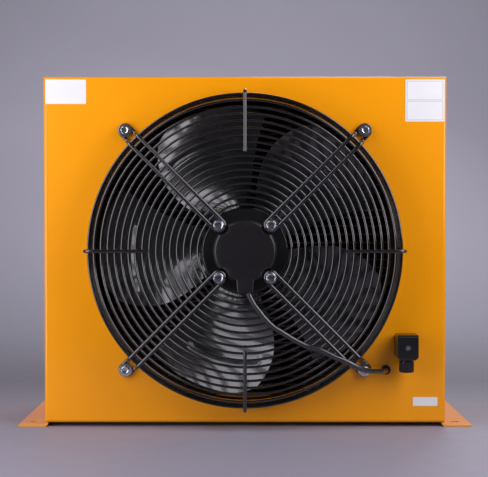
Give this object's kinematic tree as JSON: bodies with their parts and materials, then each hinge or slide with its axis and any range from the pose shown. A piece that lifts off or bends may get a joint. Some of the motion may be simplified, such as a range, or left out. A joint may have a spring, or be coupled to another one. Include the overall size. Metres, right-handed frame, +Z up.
{
  "type": "air-blast oil cooler",
  "caption": "Hydraulic oil cooler: bar-and-plate core between oil tanks, in a sheet-steel box with an axial fan, wire guard, two threaded oil ports and slotted feet.",
  "frame": {"origin": "on the floor, at the centre of the four foot slots", "axes": "+X to the right as seen from the fan side, +Y from the fan side to the oil ports, +Z up; the fan's axis lies along Y"},
  "size_m": [0.6202, 0.2809, 0.477],
  "materials": {
    "panel_paint": "semi-gloss yellow-orange powder coat",
    "zinc": "bright bluish zinc plating",
    "core_alloy": "brazed, dull",
    "fin_alloy": "thin rolled sheet",
    "motor_black": "gloss black lacquer",
    "lamination_steel": "stacked laminations",
    "copper": "enamelled copper wire",
    "bearing_steel": "ground",
    "cage_alloy": "cast",
    "fan_black": "gloss black coating",
    "guard_black": "gloss black coating on wire",
    "connector_plastic": "moulded black polyamide",
    "seal_rubber": "moulded",
    "contact_metal": "tin plated",
    "cable_sheath": "extruded dark grey sheath",
    "label_white": "blank white film"
  },
  "bodies": {
    "cooler": {"shroud": "panel_paint", "side_plate_left": "panel_paint", "side_plate_right": "panel_paint", "shroud_rivets": "zinc", "core_bolts": "zinc", "core_passages": "core_alloy", "core_fins": "fin_alloy", "core_end_bars": "core_alloy", "core_side_bars": "core_alloy", "tank_left": "core_alloy", "tank_right": "core_alloy", "tank_caps": "core_alloy", "oil_port_lower": "core_alloy", "oil_port_upper": "core_alloy", "motor_flange": "motor_black", "stator_core": "lamination_steel", "stator_winding": "copper", "bearing_front": "bearing_steel", "bearing_rear": "bearing_steel", "guard_front_rings": "guard_black", "guard_side_rings": "guard_black", "guard_struts": "guard_black", "guard_stubs": "guard_black", "motor_bolts": "zinc", "motor_washers": "zinc", "motor_lock_washers": "zinc", "guard_bolts": "zinc", "guard_washers": "zinc", "guard_nuts": "zinc", "connector_base": "connector_plastic", "connector_gasket": "seal_rubber", "connector_screws": "zinc", "connector_pins": "contact_metal", "motor_cable": "cable_sheath", "cable_grommet": "seal_rubber", "label_left": "label_white", "label_right": "label_white", "label_lower": "label_white"},
    "fan": {"rotor_cup": "motor_black", "rotor_cage": "cage_alloy", "motor_shaft": "bearing_steel", "impeller_ring": "fan_black", "impeller_blades": "fan_black"},
    "plug": {"plug_body": "connector_plastic", "plug_gasket": "seal_rubber", "gland_seal": "seal_rubber"},
    "plug_screw": {"plug_screw": "zinc"},
    "gland_nut": {"gland_nut": "connector_plastic"}
  },
  "joints": [
    {"name": "fan_spin", "type": "hinge", "parent": "cooler", "child": "fan", "pos_m": [0, -0.105, 0.2415], "axis": [0, 1, 0], "continuous": true},
    {"name": "plug_pull", "type": "slide", "parent": "cooler", "child": "plug", "axis": [0, -1, 0], "range_m": [0, 0.045]},
    {"name": "plug_screw_turn", "type": "hinge", "parent": "plug", "child": "plug_screw", "pos_m": [0.217, -0.105, 0.1125], "axis": [0, -1, 0], "range_deg": [0, 1800]},
    {"name": "gland_nut_turn", "type": "hinge", "parent": "plug", "child": "gland_nut", "pos_m": [0.217, -0.1275, 0.09], "axis": [0, 0, -1], "range_deg": [0, 720]}
  ]
}
